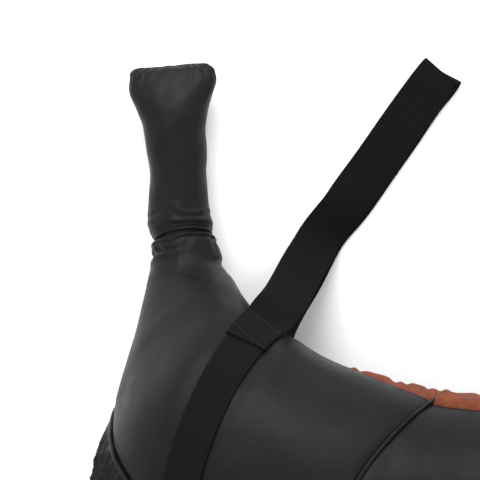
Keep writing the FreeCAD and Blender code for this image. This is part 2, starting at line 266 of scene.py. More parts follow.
def form_table():
    """Knots along the bag and, at each, the two plan ends of the section,
    its half thickness and its centre's height. Positive knots are the left side."""
    if _form_cache:
        return _form_cache["knots"], _form_cache["rows"]
    form = sizes("bag_form")
    horn = sizes("bag_horn")
    steps = np.arange(BELLY_STEPS + 1) / BELLY_STEPS
    arc = ARC_SWEEP * steps
    sweep = math.pi / 2 * steps
    inner = np.stack([-form.arc_radius * np.sin(arc),
                      form.arc_low + form.arc_radius * (1 - np.cos(arc))], axis=1)
    outer = np.stack([-form.half_span * np.sin(sweep),
                      form.hip_line - form.belly_depth * np.cos(sweep)], axis=1)
    half_neck = np.array([math.cos(horn.grip_lean), math.sin(horn.grip_lean)])
    half_neck = half_neck * horn.grip_radius
    neck = along_grip(-horn.neck_gap)
    shares = np.arange(1, 4)[:, None] / 3
    collar = along_grip(COLLAR_PLACES)
    inner = np.vstack([inner, inner[-1] + (neck + half_neck - inner[-1]) * shares,
                       collar + half_neck])
    outer = np.vstack([outer, outer[-1] + (neck - half_neck - outer[-1]) * shares,
                       collar - half_neck])
    thick = form.half_thickness * np.array(THICKNESS_SHARES)
    thick = np.append(thick, [horn.grip_radius] * len(COLLAR_PLACES))
    thick = np.minimum(thick, np.linalg.norm(outer - inner, axis=1) / 2)
    pressed = np.clip(1 - np.arange(len(thick)) / 2, 0, 1) * (form.end_lift + form.floor_flat)
    height = thick + form.end_lift - pressed
    half = np.column_stack([inner, outer, thick, height])
    flip = np.array([-1, 1, -1, 1, 1, 1])
    rows = np.vstack([(half[1:] * flip)[::-1], half])
    centre = np.column_stack([(rows[:, :2] + rows[:, 2:4]) / 2, rows[:, 5]])
    steps = np.linalg.norm(np.diff(centre, axis=0), axis=1)
    knots = np.concatenate([[0], np.cumsum(steps)])
    knots -= knots[-1] / 2
    _form_cache.update(knots=knots, rows=rows)
    return knots, rows


def bag_point(place, angle):
    """Point of the stuffed form.

    place is metres along the bag from its middle, positive to the left, and angle
    goes round the section from the belly edge (0) over the front (pi/2) to the
    neck side (pi): plan = middle + reach cos(angle), z = centre + thickness sin(angle).
    The floor flattens it: z becomes (z + sqrt(z^2 + 4 e^2)) / 2.
    """
    knots, rows = form_table()
    place, angle = np.broadcast_arrays(place, angle)
    row = natural_spline(knots, rows, place)
    middle = (row[..., :2] + row[..., 2:4]) / 2
    reach = (row[..., 2:4] - row[..., :2]) / 2
    plan = middle + reach * np.cos(angle)[..., None]
    z = row[..., 5] + row[..., 4] * np.sin(angle)
    z = (z + np.sqrt(z * z + 4 * FLOOR_ROUNDING ** 2)) / 2
    return np.concatenate([plan, z[..., None]], axis=-1)


def bag_normal(place, angle):
    """Outward normal: the cross product of the slopes along and round the form."""
    step = 1e-4
    place, angle = np.broadcast_arrays(place, angle)
    along = bag_point(place + step, angle) - bag_point(place - step, angle)
    round_it = bag_point(place, angle + step * 10) - bag_point(place, angle - step * 10)
    return unit(np.cross(round_it, along))


def neck_place():
    """Place of the neck's pivot along the form."""
    knots, _ = form_table()
    return knots[-2] - COLLAR_PLACES[0]


def wander(points, wave, seed, waves=14):
    """Soft seeded noise from -1 to 1: a sum of sine waves in random directions."""
    rng = np.random.default_rng(seed)
    total = np.zeros(points.shape[:-1])
    for _ in range(waves):
        direction = rng.normal(size=3)
        direction *= 2 * math.pi / (wave * rng.uniform(0.7, 1.5)) / np.linalg.norm(direction)
        total += np.sin(points @ direction + rng.uniform(0, 2 * math.pi))
    return total / math.sqrt(waves * 2)


def solve_place(function, low, high, shape):
    """Place where a growing function of place is zero, by halving the span."""
    low = np.full(shape, float(low))
    high = np.full(shape, float(high))
    for _ in range(36):
        middle = (low + high) / 2
        below = function(middle) < 0
        low = np.where(below, middle, low)
        high = np.where(below, high, middle)
    return (low + high) / 2


# --- seams ------------------------------------------------------------------

def gusset_angle(place):
    """Half angle of the belly gusset at places along the bag.

    The seam is where the section's plan line meets an ellipse seen from above:
    the larger root u of |middle + reach u| = 1 in the ellipse's own axes, and the
    angle is acos(u). Past the gusset's tip it is 0.
    """
    form = sizes("bag_form")
    knots, rows = form_table()
    place = np.asarray(place, float)

    def root(at):
        row = natural_spline(knots, rows, at)
        scale = np.array([form.gusset_half_length, form.gusset_half_depth])
        shift = np.array([0, form.gusset_y])
        middle = ((row[..., :2] + row[..., 2:4]) / 2 - shift) / scale
        reach = (row[..., 2:4] - row[..., :2]) / 2 / scale
        a = (reach ** 2).sum(-1)
        b = (middle * reach).sum(-1)
        c = (middle ** 2).sum(-1) - 1
        return (-b + np.sqrt(np.maximum(b * b - a * c, 0))) / a

    scan = np.linspace(0, knots[-1], 800)
    past = np.flatnonzero((root(scan) >= 1) & (scan > knots[-1] * 0.3))
    tip = scan[past[0]] if len(past) else knots[-1]
    inside = np.abs(place) < tip
    return np.where(inside, np.arccos(np.clip(root(place), -1, 1)), 0.0)


def gusset_tip():
    """Place of the gusset's left tip."""
    knots, _ = form_table()
    scan = np.linspace(knots[-1] * 0.3, knots[-1], 3000)
    return scan[np.flatnonzero(gusset_angle(scan) <= 0)[0]]


def side_seam_place(angle):
    """Place of the left side seam at angles round the bag, where the plan point
    is seam_radius from the seam's centre."""
    form = sizes("bag_form")
    angle = np.asarray(angle, float)
    centre = np.array([form.seam_x, form.seam_y])

    def beyond(place):
        plan = bag_point(place, angle)[..., :2]
        return np.linalg.norm(plan - centre, axis=-1) - form.seam_radius

    return solve_place(beyond, 0.0, 0.32, angle.shape)


def strip_angle(place):
    """Half angle of the neck strip: its edge rises by height (1 - (x / length)^2)."""
    form = sizes("bag_form")
    knots, rows = form_table()
    row = natural_spline(knots, rows, np.asarray(place, float))
    rise = form.strip_half_height * (1 - (row[..., 0] / form.strip_half_length) ** 2)
    return np.arcsin(np.clip(rise / row[..., 4], 0, 1))


def past_band(place, angle):
    """Metres from the left band's middle line towards the horn, seen from above."""
    webbing = sizes("bag_webbing")
    turn = webbing.band_angle
    to_horn = np.array([-math.cos(turn), math.sin(turn)])
    start = np.array([-webbing.band_x, webbing.band_y])
    bow = webbing.band_bow * np.clip(np.sin(angle), 0, 1) ** 2
    return (bag_point(place, angle)[..., :2] - start) @ to_horn - bow


def band_place(angle, across):
    """Place where the left band's line lies at angles round the horn. across is
    metres from the band's middle line, towards the horn. Over the front the line
    bows towards the horn by band_bow sin(angle)^2."""
    angle, across = np.broadcast_arrays(angle, across)

    def beyond(place):
        return past_band(place, angle) - across

    return solve_place(beyond, 0.02, form_table()[0][-1], angle.shape)


# --- meshes -----------------------------------------------------------------

def grid_faces(rows, columns, wrap_rows=False, wrap_columns=False):
    """Corner numbers of the quads of a grid of points."""
    index = np.arange(rows * columns).reshape(rows, columns)
    if wrap_rows:
        index = np.vstack([index, index[:1]])
    if wrap_columns:
        index = np.hstack([index, index[:, :1]])
    quads = np.stack([index[:-1, :-1], index[1:, :-1], index[1:, 1:], index[:-1, 1:]], axis=-1)
    return quads.reshape(-1, 4)


def mesh_from_mixed(name, vertices, faces):
    """Object from points and faces of mixed size, shaded smooth."""
    mesh = bpy.data.meshes.new(name)
    mesh.from_pydata(np.asarray(vertices).tolist(), [], faces)
    mesh.polygons.foreach_set("use_smooth", np.ones(len(mesh.polygons), bool))
    mesh.update()
    item = bpy.data.objects.new(name, mesh)
    bpy.context.scene.collection.objects.link(item)
    return item


def mesh_object(name, points, faces, uv=None, flip=False):
    """Object whose mesh holds the points and faces; uv is one pair per point."""
    points = np.asarray(points, float).reshape(-1, 3)
    faces = np.asarray(faces)
    if flip:
        faces = faces[:, ::-1]
    item = mesh_from_mixed(name, points, faces.tolist())
    mesh = item.data
    if uv is not None:
        corners = np.empty(len(mesh.loops), np.int32)
        mesh.loops.foreach_get("vertex_index", corners)
        layer = mesh.uv_layers.new(name="UVMap")
        pairs = np.asarray(uv, np.float32).reshape(-1, 2)[corners]
        layer.data.foreach_set("uv", pairs.ravel())
    return item


def mirror_points(points, side):
    """Points of the left side, or their mirror image for the right side."""
    return points if side > 0 else points * np.array([-1, 1, 1])


def path_lengths(points, axis):
    """Metres run along one axis of a grid of points, from its start."""
    steps = np.linalg.norm(np.diff(points, axis=axis), axis=-1)
    start = np.zeros_like(np.take(steps, [0], axis=axis))
    return np.concatenate([start, np.cumsum(steps, axis=axis)], axis=axis)


def clustered(count, ends=0.6):
    """0 to 1 in count steps that get closer towards both ends."""
    t = np.linspace(0, 1, count)
    return (1 - ends) * t + ends * (1 - np.cos(math.pi * t)) / 2


def shell(item, thickness):
    """Give an open sheet a wall inwards."""
    wall = item.modifiers.new("Wall", "SOLIDIFY")
    wall.thickness = thickness
    wall.offset = -1
    wall.use_even_offset = False
    return item


def sheet_on_bag(name, place, angle, relief, side=1, thickness=0.0016):
    """Panel of the form: points at (place, angle) moved by relief along the normal."""
    base = bag_point(place, angle)
    points = base + bag_normal(place, angle) * relief[..., None]
    points[..., 2] = np.maximum(points[..., 2], 0.0002)
    rows, columns = place.shape
    uv = np.stack([path_lengths(base, 0), path_lengths(base, 1)], axis=-1)
    item = mesh_object(name, mirror_points(points, side), grid_faces(rows, columns), uv,
                       flip=side > 0)
    shell(item, thickness)
    return item


def carried_profile(name, path, normals, profile, closed=False, taper=0.0):
    """A closed profile of (across, up) pairs carried along a path of points.

    Each ring is point + side across + normal up, with side = tangent x normal.
    Open ends shrink to a point over taper metres.
    """
    tangent = unit(np.gradient(path, axis=0))
    if closed:
        tangent = unit(np.roll(path, -1, axis=0) - np.roll(path, 1, axis=0))
    side = unit(np.cross(tangent, normals))
    profile = np.asarray(profile, float)
    scale = np.ones(len(path))
    if taper > 0 and not closed:
        run = path_lengths(path, 0)
        edge = np.minimum(run, run[-1] - run)
        scale = np.sqrt(np.clip(edge / taper, 0, 1) * (2 - np.clip(edge / taper, 0, 1)))
        scale = np.maximum(scale, 0.02)
    across = profile[None, :, 0, None] * scale[:, None, None]
    up = profile[None, :, 1, None] * scale[:, None, None]
    points = path[:, None] + side[:, None] * across + normals[:, None] * up
    run = path_lengths(path, 0)
    uv = np.stack(np.broadcast_arrays(run[:, None], np.arange(len(profile))[None] * 0.001), -1)
    faces = grid_faces(len(path), len(profile), closed, True)
    item = mesh_object(name, points, faces, uv)
    if not closed:
        cap_ends(item, len(path), len(profile))
    return item


def cap_ends(item, rows, columns):
    """Close the two open ends of a tube of rows x columns points."""
    mesh = item.data
    first = list(range(columns))
    last = [(rows - 1) * columns + k for k in range(columns)][::-1]
    work = bmesh.new()
    work.from_mesh(mesh)
    work.verts.ensure_lookup_table()
    for ring in (first, last):
        work.faces.new([work.verts[k] for k in ring])
    bmesh.ops.recalc_face_normals(work, faces=work.faces[:])
    work.to_mesh(mesh)
    work.free()
    mesh.polygons.foreach_set("use_smooth", np.ones(len(mesh.polygons), bool))


def finish_piece(item, body, material, replaced=()):
    """Paint a piece and put it on its body."""
    item.data.materials.clear()
    item.data.materials.append(material)
    if body:
        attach(item, body)
    if replaced:
        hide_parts(*replaced)
    return item


# --- materials --------------------------------------------------------------

def new_material(name):
    """Material with a Principled shader; returns it, its nodes, links and shader."""
    material = bpy.data.materials.new(name)
    material.use_nodes = True
    nodes = material.node_tree.nodes
    return material, nodes, material.node_tree.links, nodes["Principled BSDF"]


def add_node(nodes, kind, **settings):
    """Add a node; a setting names a property, or an input when it starts with a capital."""
    node = nodes.new(kind)
    for key, value in settings.items():
        if key[0].isupper():
            node.inputs[key.replace("_", " ")].default_value = value
        else:
            setattr(node, key, value)
    return node


def add_texture(nodes, links, vector, kind, **settings):
    """Texture node on a coordinate socket."""
    node = add_node(nodes, kind, **settings)
    links.new(vector, node.inputs["Vector"])
    return node


def add_bump(nodes, links, shader, height, strength, distance, before=None):
    """Bump from a height socket, stacked on an earlier bump when one is given."""
    bump = add_node(nodes, "ShaderNodeBump", Strength=strength, Distance=distance)
    links.new(height, bump.inputs["Height"])
    if before is not None:
        links.new(before.outputs["Normal"], bump.inputs["Normal"])
    links.new(bump.outputs["Normal"], shader.inputs["Normal"])
    return bump


def add_ramp(nodes, links, factor, stops):
    """Colour ramp on a factor; stops are (place, (r, g, b))."""
    ramp = nodes.new("ShaderNodeValToRGB")
    elements = ramp.color_ramp.elements
    while len(elements) < len(stops):
        elements.new(0.5)
    for element, (place, colour) in zip(elements, stops):
        element.position = place
        element.color = (*colour, 1)
    links.new(factor, ramp.inputs["Fac"])
    return ramp


def shade(colour, factor):
    """A colour made darker or lighter."""
    return tuple(min(1.0, part * factor) for part in colour)


def leather(name, colour, roughness, grain=1.0, wear=1.0):
    """Black cover leather: pebbled grain, fine pores, soft creases and slight wear."""
    material, nodes, links, shader = new_material(name)
    where = add_node(nodes, "ShaderNodeTexCoord").outputs["Object"]
    cloud = add_texture(nodes, links, where, "ShaderNodeTexNoise", Scale=14.0, Detail=4.0,
                        Roughness=0.6)
    colours = add_ramp(nodes, links, cloud.outputs["Fac"],
                       [(0.3, shade(colour, 0.82)), (0.7, shade(colour, 1.0 + 0.22 * wear))])
    links.new(colours.outputs["Color"], shader.inputs["Base Color"])
    scuff = add_texture(nodes, links, where, "ShaderNodeTexNoise", Scale=55.0, Detail=6.0,
                        Roughness=0.7)
    gloss = add_node(nodes, "ShaderNodeMapRange", From_Min=0.3, From_Max=0.7,
                     To_Min=roughness - 0.05, To_Max=roughness + 0.07)
    links.new(scuff.outputs["Fac"], gloss.inputs["Value"])
    links.new(gloss.outputs["Result"], shader.inputs["Roughness"])
    pebble = add_texture(nodes, links, where, "ShaderNodeTexVoronoi", feature="SMOOTH_F1", Scale=620.0,
                      Smoothness=0.6)
    first = add_bump(nodes, links, shader, pebble.outputs["Distance"], 0.16 * grain, 0.0005)
    pores = add_texture(nodes, links, where, "ShaderNodeTexNoise", Scale=1500.0, Detail=3.0)
    second = add_bump(nodes, links, shader, pores.outputs["Fac"], 0.10 * grain, 0.0003, first)
    crease = add_texture(nodes, links, where, "ShaderNodeTexNoise", Scale=38.0, Detail=5.0,
                         Roughness=0.55,
                      Distortion=0.6)
    add_bump(nodes, links, shader, crease.outputs["Fac"], 0.10, 0.004, second)
    shader.inputs["Specular IOR Level"].default_value = 0.085
    return material


def suede(name, colour):
    """Rust suede: soft nap, dusty sheen, and a colour that is partly random tone and partly painted shade, darker
    where the nap's bump dips into creases.
    """
    material, nodes, links, shader = new_material(name)
    where = add_node(nodes, "ShaderNodeTexCoord").outputs["Object"]
    nap_and_crease_shade = add_texture(nodes, links, where, "ShaderNodeTexNoise", Scale=90.0, Detail=6.0, Roughness=0.7)
    # Colour from the same noise as the bump: random tone, and painted shade where the bump is low in the creases.
    colours = add_ramp(nodes, links, nap_and_crease_shade.outputs["Fac"],
                       [(0.3, shade(colour, 0.72)), (0.55, colour), (0.75, shade(colour, 1.25))])
    links.new(colours.outputs["Color"], shader.inputs["Base Color"])
    fibre = add_texture(nodes, links, where, "ShaderNodeTexNoise", Scale=1400.0, Detail=4.0,
                        Roughness=0.8)
    first = add_bump(nodes, links, shader, fibre.outputs["Fac"], 0.35, 0.0006)
    add_bump(nodes, links, shader, nap_and_crease_shade.outputs["Fac"], 0.25, 0.002, first)
    shader.inputs["Roughness"].default_value = 0.92
    shader.inputs["Specular IOR Level"].default_value = 0.05
    shader.inputs["Sheen Weight"].default_value = 0.05
    shader.inputs["Sheen Roughness"].default_value = 0.5
    return material


def woven_webbing(name, colour):
    """Webbing on its own UV map in metres: ribs across it, a twill between them, coloured from the same weave
    value that makes the bump: the weave pattern, painted highlight on the raised ribs and painted shade in the
    grooves.
    """
    material, nodes, links, shader = new_material(name)
    uv = add_node(nodes, "ShaderNodeTexCoord").outputs["UV"]
    ribs = add_texture(nodes, links, uv, "ShaderNodeTexWave", wave_type="BANDS", bands_direction="X",
                    Scale=112.0, Distortion=0.6, Detail=2.0, Detail_Scale=4.0)
    yarns = add_texture(nodes, links, uv, "ShaderNodeTexWave", wave_type="BANDS",
                        bands_direction="DIAGONAL",
                     Scale=210.0, Distortion=0.8, Detail=2.0, Detail_Scale=3.0)
    lint = add_texture(nodes, links, uv, "ShaderNodeTexNoise", Scale=300.0, Detail=4.0, Roughness=0.7)
    weave = add_node(nodes, "ShaderNodeMath", operation="MULTIPLY_ADD")
    weave.inputs[1].default_value = 0.4
    links.new(yarns.outputs["Fac"], weave.inputs[0])
    links.new(ribs.outputs["Fac"], weave.inputs[2])
    mixed = add_node(nodes, "ShaderNodeMath", operation="MULTIPLY_ADD")
    mixed.inputs[1].default_value = 0.35
    links.new(lint.outputs["Fac"], mixed.inputs[0])
    links.new(weave.outputs["Value"], mixed.inputs[2])
    # Colour follows the bump's height: painted highlight on the raised ribs, painted shade in the grooves.
    colours = add_ramp(nodes, links, mixed.outputs["Value"],
                       [(0.15, shade(colour, 0.45)), (0.7, colour), (1.0, shade(colour, 1.9))])
    links.new(colours.outputs["Color"], shader.inputs["Base Color"])
    add_bump(nodes, links, shader, mixed.outputs["Value"], 0.4, 0.0005)
    shader.inputs["Roughness"].default_value = 0.85
    shader.inputs["Specular IOR Level"].default_value = 0.1
    return material


def fibre_stuff(name, colour, scale, lumps):
    """Loose filling: clumps of light and dark with a rough surface."""
    material, nodes, links, shader = new_material(name)
    where = add_node(nodes, "ShaderNodeTexCoord").outputs["Object"]
    clumps = add_texture(nodes, links, where, "ShaderNodeTexNoise", Scale=scale, Detail=8.0,
                         Roughness=0.75)
    colours = add_ramp(nodes, links, clumps.outputs["Fac"],
                       [(0.3, shade(colour, 0.6)), (0.7, shade(colour, 1.15))])
    links.new(colours.outputs["Color"], shader.inputs["Base Color"])
    add_bump(nodes, links, shader, clumps.outputs["Fac"], lumps, 0.002)
    shader.inputs["Roughness"].default_value = 0.95
    return material


def cover_leather():
    look = sizes("bag_look")
    return bpy.data.materials.get("black_leather") or leather(
        "black_leather", look.leather_colour, look.leather_roughness)


def welt_leather():
    look = sizes("bag_look")
    return bpy.data.materials.get("ridge_leather") or leather(
        "ridge_leather", shade(look.leather_colour, 0.95), look.leather_roughness - 0.02, 0.8)


def thread():
    return bpy.data.materials.get("black_thread") or fibre_stuff(
        "black_thread", (0.020, 0.020, 0.021), 700.0, 0.5)


def black_webbing():
    return bpy.data.materials.get("black_webbing") or woven_webbing(
        "black_webbing", sizes("bag_look").webbing_colour)


# --- cover panels -----------------------------------------------------------

PINCH = 0.0022          # how deep a seam pulls the cover in
PINCH_WIDTH = 0.016     # how far from the seam that reaches


def seam_pinch(distance):
    """Relief near a seam: a broad dip and a narrow tuck, both dying exponentially."""
    tuck = 0.0012 * np.exp(-distance / 0.0022)
    return -PINCH * np.exp(-distance / PINCH_WIDTH) - tuck


def edge_distances(points):
    """Distance of each grid point from its four edges, measured along the grid."""
    down = path_lengths(points, 0)
    over = path_lengths(points, 1)
    return down, down[-1:] - down, over, over[:, -1:] - over


def band_press(place, angle):
    """Relief that the tight band presses into the horn, with soft rolls beside it."""
    away = np.abs(past_band(np.abs(place), angle)) - sizes("bag_webbing").band_width / 2
    under = smooth_step(0.010, -0.004, away)
    roll = hill(away, 0.010, 0.009)
    return -0.0012 * under + 0.0003 * roll


def settle_grid(a, b, place_from, place_to, angle_from, angle_to):
    """(place, angle) of a panel's grid whose four edges each follow a seam.

    place runs from place_from(angle) to place_to(angle) with a, and angle from
    angle_from(place) to angle_to(place) with b; the two are settled in turn.
    """
    a, b = np.meshgrid(a, b, indexing="ij")
    angle = 0.3 + (2 * math.pi - 0.6) * b
    place = place_from(angle) * (1 - a) + place_to(angle) * a
    for _ in range(14):
        angle = angle_from(place) * (1 - b) + angle_to(place) * b
        place = place_from(angle) * (1 - a) + place_to(angle) * a
    return place, angle


def collar_place(angle):
    """Place of the collar's edge: furthest along over the front, least at the outer side."""
    return neck_place() + 0.004 + 0.005 * np.sin(angle) - 0.003 * np.cos(angle)


FLARE_PLACES = (-0.060, -0.045, -0.0325, -0.0236, -0.0164, -0.0057, 0.0033, 0.0070, 0.0120)
INNER_FLARE = (0.0010, 0.0032, 0.0052, 0.0070, 0.0080, 0.0062, 0.0030, 0.0019, 0.0010)
OUTER_FLARE = (0.0, 0.0012, 0.0022, 0.0028, 0.0022, 0.0026, 0.0016, 0.0012, 0.0010)


def cone_relief(place, angle, points):
    """Relief of the horn: seam pinches, the pressed band, the collar's flare and folds."""
    down, _, over, back = edge_distances(points)
    relief = seam_pinch(down) + seam_pinch(np.minimum(over, back)) + band_press(place, angle)
    relief += 0.0009 * wander(points, 0.075, 5) + 0.00035 * wander(points, 0.028, 6)
    from_neck = place - neck_place()
    flare = np.column_stack([INNER_FLARE, OUTER_FLARE])
    flare = natural_spline(FLARE_PLACES, flare, np.clip(from_neck, FLARE_PLACES[0], 0.012))
    inner = (1 - np.cos(angle)) / 2
    relief += flare[..., 0] * inner + flare[..., 1] * (1 - inner)
    edge = collar_place(angle) - place
    uneven = 0.0012 * wander(points, 0.020, 8)
    tuck = -0.0022 * hill(edge, 0, 0.0013)
    lip = 0.0009 * hill(edge + uneven, 0.0032, 0.0016)
    groove = -0.0010 * hill(edge + uneven, 0.0062, 0.0016)
    outer_side = smooth_step(1.9, 1.0, angle) * smooth_step(-0.3, 0.2, angle)
    second = -0.0022 * outer_side * hill(edge + 2 * uneven, 0.0130, 0.0022)
    under = 0.0012 * outer_side * hill(edge + uneven, 0.0180, 0.0030)
    relief += tuck + lip + groove * smooth_step(0.8, 1.9, angle) + second + under
    fan = np.sin(angle * 13 + 2.5 * wander(points, 0.030, 10))
    relief += 0.0004 * fan * hill(edge, 0.010, 0.008)
    spine = hill(angle, 1.62, 0.13) * smooth_step(0.055, 0.020, edge)
    relief += 0.0012 * spine * smooth_step(0.006, 0.014, edge)
    slant = edge / 0.019 - (angle - 1.9) / 0.55
    creases = np.exp(-(2.2 * (slant - np.round(slant))) ** 2)
    reach = hill(edge, 0.055, 0.018) * hill(angle, 2.35, 0.42)
    relief += 0.0016 * creases * reach * (0.6 + 0.4 * wander(points, 0.03, 11))
    return relief


class BAG_OT_horn_panels(Operator):
    """Leather wrapped round both cones, from the side seam to the collar."""
    bl_idname = "bag.horn_panels"
    bl_label = "Horn Panels"

    def execute(self, context):
        place, angle = settle_grid(
            clustered(230, 0.5), clustered(250, 0.35), side_seam_place, collar_place,
            gusset_angle, lambda at: 2 * math.pi - gusset_angle(at))
        points = bag_point(place, angle)
        relief = cone_relief(place, angle, points)
        axis = along_grip(np.array([-0.030, 0.002]))
        for side_name, side in SIDES.items():
            item = sheet_on_bag(f"{side_name}_horn_leather", place, angle, relief, side)
            finish_piece(item, None, cover_leather(),
                         [f"{side_name}_horn_panel"])
            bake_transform(item)
        return {"FINISHED"}


class BAG_OT_centre_panels(Operator):
    """Front and back leather panels between the horns."""
    bl_idname = "bag.centre_panels"
    bl_label = "Centre Panels"

    def execute(self, context):
        spans = {
            "front": (gusset_angle, lambda at: math.pi - strip_angle(at)),
            "back": (lambda at: math.pi + strip_angle(at), lambda at: 2 * math.pi - gusset_angle(at)),
        }
        for face, (angle_from, angle_to) in spans.items():
            place, angle = settle_grid(
                clustered(200, 0.45), clustered(110, 0.45),
                lambda at: -side_seam_place(at), side_seam_place, angle_from, angle_to)
            points = bag_point(place, angle)
            relief = sum(seam_pinch(distance) for distance in edge_distances(points))
            relief += 0.0008 * wander(points, 0.09, 15) + 0.0003 * wander(points, 0.03, 16)
            item = sheet_on_bag(f"centre_{face}_leather", place, angle, relief)
            finish_piece(item, "bag", cover_leather(),
                         [f"centre_{face}_panel"])
        return {"FINISHED"}


class BAG_OT_belly_gusset(Operator):
    """Crumpled leather panel along the belly, from hip to hip."""
    bl_idname = "bag.belly_gusset"
    bl_label = "Belly Gusset"

    def execute(self, context):
        tip = gusset_tip() - 0.0005
        along = np.linspace(-1, 1, 520)
        place = np.repeat((tip * along)[:, None], 120, axis=1)
        half = np.maximum(gusset_angle(place[:, :1]), 1e-3)
        angle = half * np.linspace(-1, 1, 120)[None] * (1 - 1e-4)
        points = bag_point(place, angle)
        _, _, over, back = edge_distances(points)
        free = np.minimum(over, back)
        hip = smooth_step(0.45, 0.80, np.abs(place) / tip)
        hip = hip * smooth_step(-0.035, -0.070, points[..., 1])
        loose = 1 - np.exp(-free / 0.010)
        phase = over / 0.026 - np.abs(place) / 0.050 + 0.9 * wander(points, 0.07, 21)
        fold = 1 - np.abs(np.sin(math.pi * phase)) ** 0.8
        phase_two = over / 0.017 + np.abs(place) / 0.031 + 0.8 * wander(points, 0.05, 22)
        small = 1 - np.abs(np.sin(math.pi * phase_two)) ** 0.9
        relief = seam_pinch(free)
        relief += loose * ((0.0010 + 0.0045 * hip) * fold + (0.0004 + 0.0016 * hip) * small)
        relief += loose * (0.0010 * wander(points, 0.06, 23) - 0.0022 * hip)
        item = sheet_on_bag("belly_leather", place, angle, relief)
        finish_piece(item, "bag", cover_leather(), ["belly_gusset"])
        return {"FINISHED"}


class BAG_OT_neck_strip(Operator):
    """Wrinkled rust suede strip on the edge that lies against the neck."""
    bl_idname = "bag.neck_strip"
    bl_label = "Neck Strip"

    def execute(self, context):
        form = sizes("bag_form")
        knots, rows = form_table()
        scan = np.linspace(0, knots[-1] / 2, 2000)
        reach = np.abs(natural_spline(knots, rows, scan)[:, 0])
        tip = float(np.interp(form.strip_half_length, reach, scan)) - 0.0004
        place = np.repeat(np.linspace(-tip, tip, 420)[:, None], 60, axis=1)
        half = np.maximum(strip_angle(place[:, :1]), 1e-3)
        angle = math.pi + (half + 0.03) * np.linspace(-1, 1, 60)[None]
        points = bag_point(place, angle)
        _, _, over, back = edge_distances(points)
        free = np.minimum(over, back)
        loose = 1 - np.exp(-free / 0.005)
        phase = place / 0.027 + 0.8 * wander(points, 0.05, 31)
        relief = 0.0010 * np.sin(2 * math.pi * phase) + 0.0007 * wander(points, 0.016, 32)
        relief = loose * (0.0030 + relief) - 0.0056 * np.exp(-free / 0.0035)
        item = sheet_on_bag("neck_suede", place, angle, relief, thickness=0.0012)
        material = suede("rust_suede", sizes("bag_look").rust_colour)
        finish_piece(item, "bag", material, ["neck_strip"])
        return {"FINISHED"}


# --- seams ------------------------------------------------------------------

RIDGE_WIDTH = 0.0034
RIDGE_HEIGHT = 0.0017


def ridge_profile():
    """Half-round fold of leather that sinks into the cover: across, up."""
    turn = np.linspace(0, math.pi, 9)
    rounded = np.stack([RIDGE_WIDTH / 2 * (1 - np.cos(turn)), RIDGE_HEIGHT * np.sin(turn)], 1)
    return np.vstack([rounded, [[RIDGE_WIDTH, -0.0035], [0, -0.0035]]])


def seam_ridge(name, place, angle, side=1, taper=0.010, flip=False):
    """Raised fold along a seam given as places and angles."""
    path = bag_point(place, angle)
    normals = bag_normal(place, angle)
    wobble = 0.0003 * wander(path, 0.02, 41)
    path = path + normals * (wobble - 0.0014)[:, None]
    profile = ridge_profile()
    if flip:
        profile = profile * [-1, 1]
    item = carried_profile(name, mirror_points(path, side), mirror_points(normals, side),
                           profile if side > 0 else profile * [-1, 1], taper=taper)
    return item


class BAG_OT_seam_welts(Operator):
    """Raised folds along the gusset seams and the side seams."""
    bl_idname = "bag.seam_welts"
    bl_label = "Seam Welts"

    def execute(self, context):
        angle = np.linspace(0, 2 * math.pi, 700)
        place = side_seam_place(angle)
        free = (angle > gusset_angle(place)) & (angle < 2 * math.pi - gusset_angle(place))
        angle, place = angle[free], place[free]
        for side_name, side in SIDES.items():
            item = seam_ridge(f"{side_name}_side_ridge", place, angle, side)
            finish_piece(item, "bag", welt_leather(), [f"{side_name}_seam_welt"])
        tip = gusset_tip() - 0.001
        place = np.sin(np.linspace(-math.pi / 2, math.pi / 2, 700)) * tip
        for face, turn in (("front", 1), ("back", -1)):
            angle = turn * gusset_angle(place)
            item = seam_ridge(f"gusset_{face}_ridge", place, angle, flip=turn > 0)
            finish_piece(item, "bag", welt_leather(), [f"gusset_{face}_welt"])
        return {"FINISHED"}


# --- webbing ----------------------------------------------------------------

def ribbon(name, path, across, normals, width, thickness, closed=False, narrow=None):
    """Woven strap: rings of a flat, round-edged section carried along a path.

    The section's corner points are path + across w + normal t, where (w, t) run
    round a rectangle whose short ends are half circles. UV is metres along and across.
    """
    half = width / 2
    edge = thickness / 2
    turn = np.linspace(-math.pi / 2, math.pi / 2, 5)
    flat = np.linspace(-1, 1, 13)[1:-1] * (half - edge)
    right = np.stack([half - edge + edge * np.cos(turn), edge * np.sin(turn)], axis=1)
    top = np.stack([flat[::-1], np.full(len(flat), edge)], axis=1)
    left = -right
    bottom = np.stack([flat, np.full(len(flat), -edge)], axis=1)
    section = np.vstack([right, top, left, bottom])
    if narrow is not None:
        across = across * narrow[:, None]
    points = path[:, None] + across[:, None] * section[None, :, :1]
    points = points + normals[:, None] * section[None, :, 1:]
    run = path_lengths(path, 0)
    girth = np.concatenate([[0], np.cumsum(np.linalg.norm(np.diff(section, axis=0), axis=1))])
    uv = np.stack(np.broadcast_arrays(run[:, None], girth[None]), axis=-1)
    item = mesh_object(name, points, grid_faces(len(path), len(section), closed, True), uv)
    if not closed:
        cap_ends(item, len(path), len(section))
    return item


def front_bow_path(angle, lift):
    """Middle line of the left band at angles round the horn, with its width and
    surface directions, raised by lift."""
    width = sizes("bag_webbing").band_width
    place = band_place(angle, 0.0)
    near = bag_point(band_place(angle, -width / 4), angle)
    far = bag_point(band_place(angle, width / 4), angle)
    middle = bag_point(place, angle)
    across = unit(far - near)
    normal = bag_normal(place, angle)
    normal = unit(normal - across * (normal * across).sum(-1, keepdims=True))
    return middle + normal * lift, across, normal


